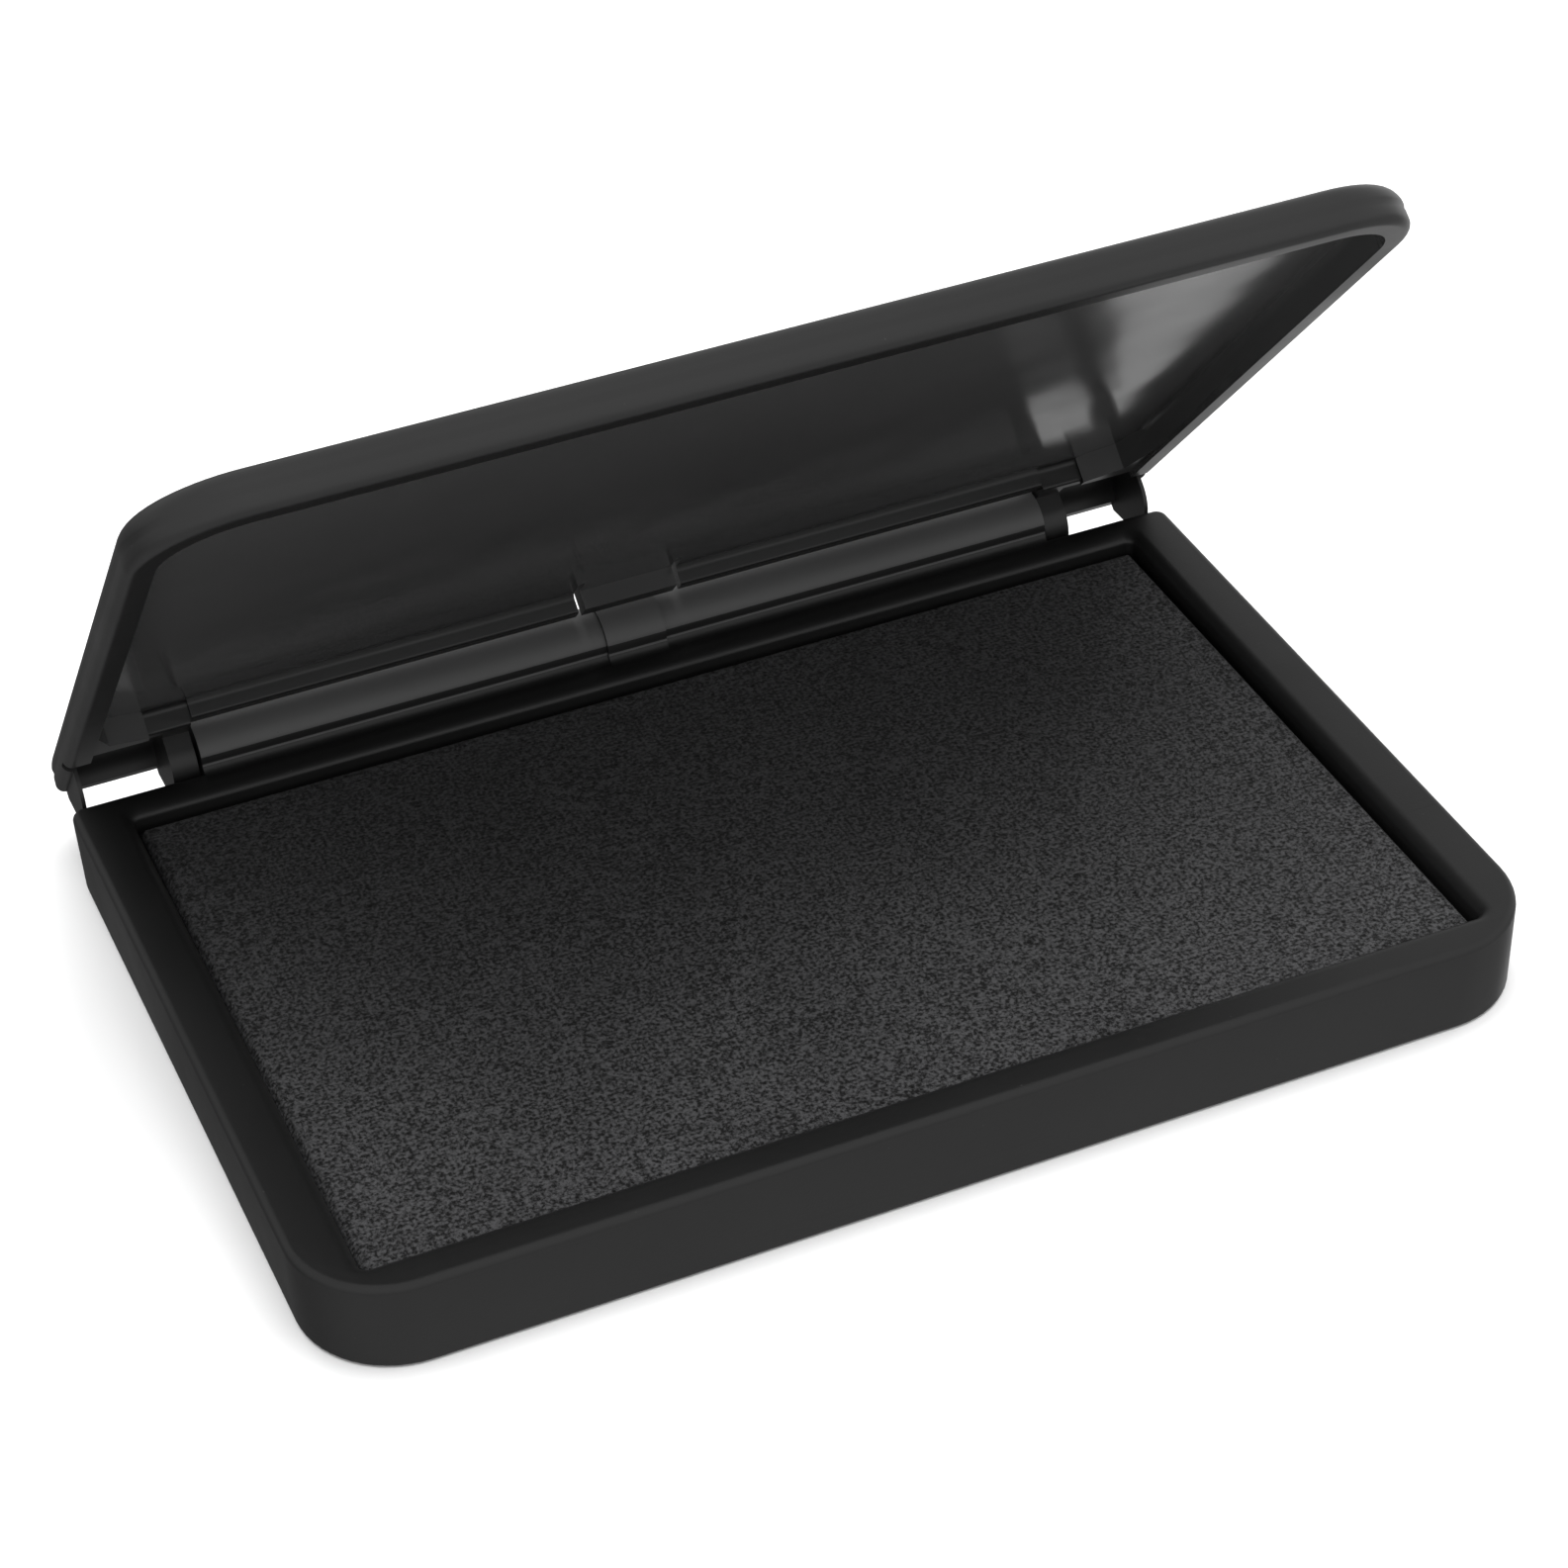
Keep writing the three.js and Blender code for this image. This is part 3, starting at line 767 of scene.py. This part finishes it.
def make_lighting():
    """A pale studio: brighter above than low down, and dim behind except at the right."""
    world = bpy.data.worlds.new("studio")
    bpy.context.scene.world = world
    world.use_nodes = True
    tree = world.node_tree
    background = tree.nodes["Background"]
    direction = tree.nodes.new("ShaderNodeTexCoord")
    parts = tree.nodes.new("ShaderNodeSeparateXYZ")
    tree.links.new(direction.outputs["Generated"], parts.inputs[0])

    def level(axis, low, high, to_low, to_high):
        node = tree.nodes.new("ShaderNodeMapRange")
        for index, number in enumerate((low, high, to_low, to_high), start=1):
            node.inputs[index].default_value = number
        tree.links.new(parts.outputs[axis], node.inputs[0])
        return node.outputs[0]

    far_right = tree.nodes.new("ShaderNodeMath")
    far_right.operation = "MULTIPLY"
    tree.links.new(level("X", 0.28, 0.45, 0.0, LOW_RIGHT), far_right.inputs[0])
    tree.links.new(level("Y", 0.1, 0.4, 0.0, 1.0), far_right.inputs[1])
    below = tree.nodes.new("ShaderNodeMath")
    below.operation = "MAXIMUM"
    tree.links.new(level("Y", -0.5, 0.4, LOW_FRONT, LOW_BACK), below.inputs[0])
    tree.links.new(far_right.outputs[0], below.inputs[1])
    blend = tree.nodes.new("ShaderNodeMix")
    tree.links.new(level("Z", -0.15, 0.25, 0.0, 1.0), blend.inputs["Factor"])
    tree.links.new(below.outputs[0], blend.inputs["A"])
    tree.links.new(level("Y", -0.6, 0.7, HIGH_FRONT, HIGH_BACK), blend.inputs["B"])
    tree.links.new(blend.outputs["Result"], background.inputs["Strength"])
    background.inputs["Color"].default_value = (1, 1, 1, 1)
    overhead = make_softbox("overhead", (0.08, 0.12, 1.1), (0, 0, 0), (1.2, 1.0), 17)
    overhead.visible_glossy = False


# The camera's offsets are in tray widths, from the middle of the tray's back edge.

CAMERA_LENS = 92.39
SENSOR = 36.0
CAMERA_SHIFT = (0.0482, 0.0473)
CAMERA_AZIMUTH = -20.434
CAMERA_ELEVATION = 38.022
CAMERA_ROLL = -3.478
CAMERA_OFFSET = (0.0609, -0.1762, 3.4333)


def make_camera():
    """In front of the pad, to its left and above it, with a long lens."""
    angles = (CAMERA_AZIMUTH, CAMERA_ELEVATION, CAMERA_ROLL)
    azimuth, elevation, roll = [math.radians(angle) for angle in angles]
    back = Vector((math.sin(azimuth) * math.cos(elevation),
                   -math.cos(azimuth) * math.cos(elevation), math.sin(elevation)))
    level = Vector((math.cos(azimuth), math.sin(azimuth), 0))
    rise = back.cross(level)
    right = level * math.cos(roll) + rise * math.sin(roll)
    up = rise * math.cos(roll) - level * math.sin(roll)
    unit = 2 * TRAY_X * MM
    across, upward, away = CAMERA_OFFSET
    place = (right * across + up * upward + back * away) * unit
    place += Vector((0, TRAY_BACK * MM, TRAY_TOP * MM))
    data = bpy.data.cameras.new("camera")
    data.lens = CAMERA_LENS
    data.sensor_width = SENSOR
    data.shift_x, data.shift_y = CAMERA_SHIFT
    data.clip_start = 0.01
    camera = bpy.data.objects.new("camera", data)
    turn = Matrix((right, up, back)).transposed().to_4x4()
    camera.matrix_world = Matrix.Translation(place) @ turn
    bpy.context.scene.collection.objects.link(camera)
    bpy.context.scene.camera = camera


# ---- Everything together ------------------------------------------------------------

make_camera()
make_lighting()
make_floor()

TRAY_TONE = 0.0085
# The spine crown's tone, about ten times the tray's, is painted light: it stands for the overhead
# light the crown catches.
CROWN_PAINTED_LIGHT_TONE = 0.09
LID_TONE = 0.013
# The lid hollow's tone, over three times the lid's, is painted light on the same plastic.
HOLLOW_PAINTED_LIGHT_TONE = 0.045

tray_plastic = moulded_plastic("tray_plastic", TRAY_TONE, roughness=0.4, grain=0.012, smears=0.06)
# The crown's material is the tray's plastic made lighter, as painted light.
spine_crown_painted_light = moulded_plastic("spine_crown_painted_light", CROWN_PAINTED_LIGHT_TONE, roughness=0.45, grain=0.01, smears=0.05)
lid_plastic = moulded_plastic("lid_plastic", LID_TONE, roughness=0.36, grain=0.006, smears=0.05)
hollow_painted_light = moulded_plastic("hollow_painted_light", HOLLOW_PAINTED_LIGHT_TONE, roughness=0.15, grain=0.002,
                                 smears=0.05, ripple=0.5)
make_tray(tray_plastic, spine_crown_painted_light)
make_lid(lid_plastic, hollow_painted_light)
make_pad_cloth(inked_cloth_material())
make_felt(felt_material())
board = frame["nodes"]["pad_board"]
board.data.materials.clear()
board.data.materials.append(board_material())

bpy.context.scene.view_settings.view_transform = "Standard"
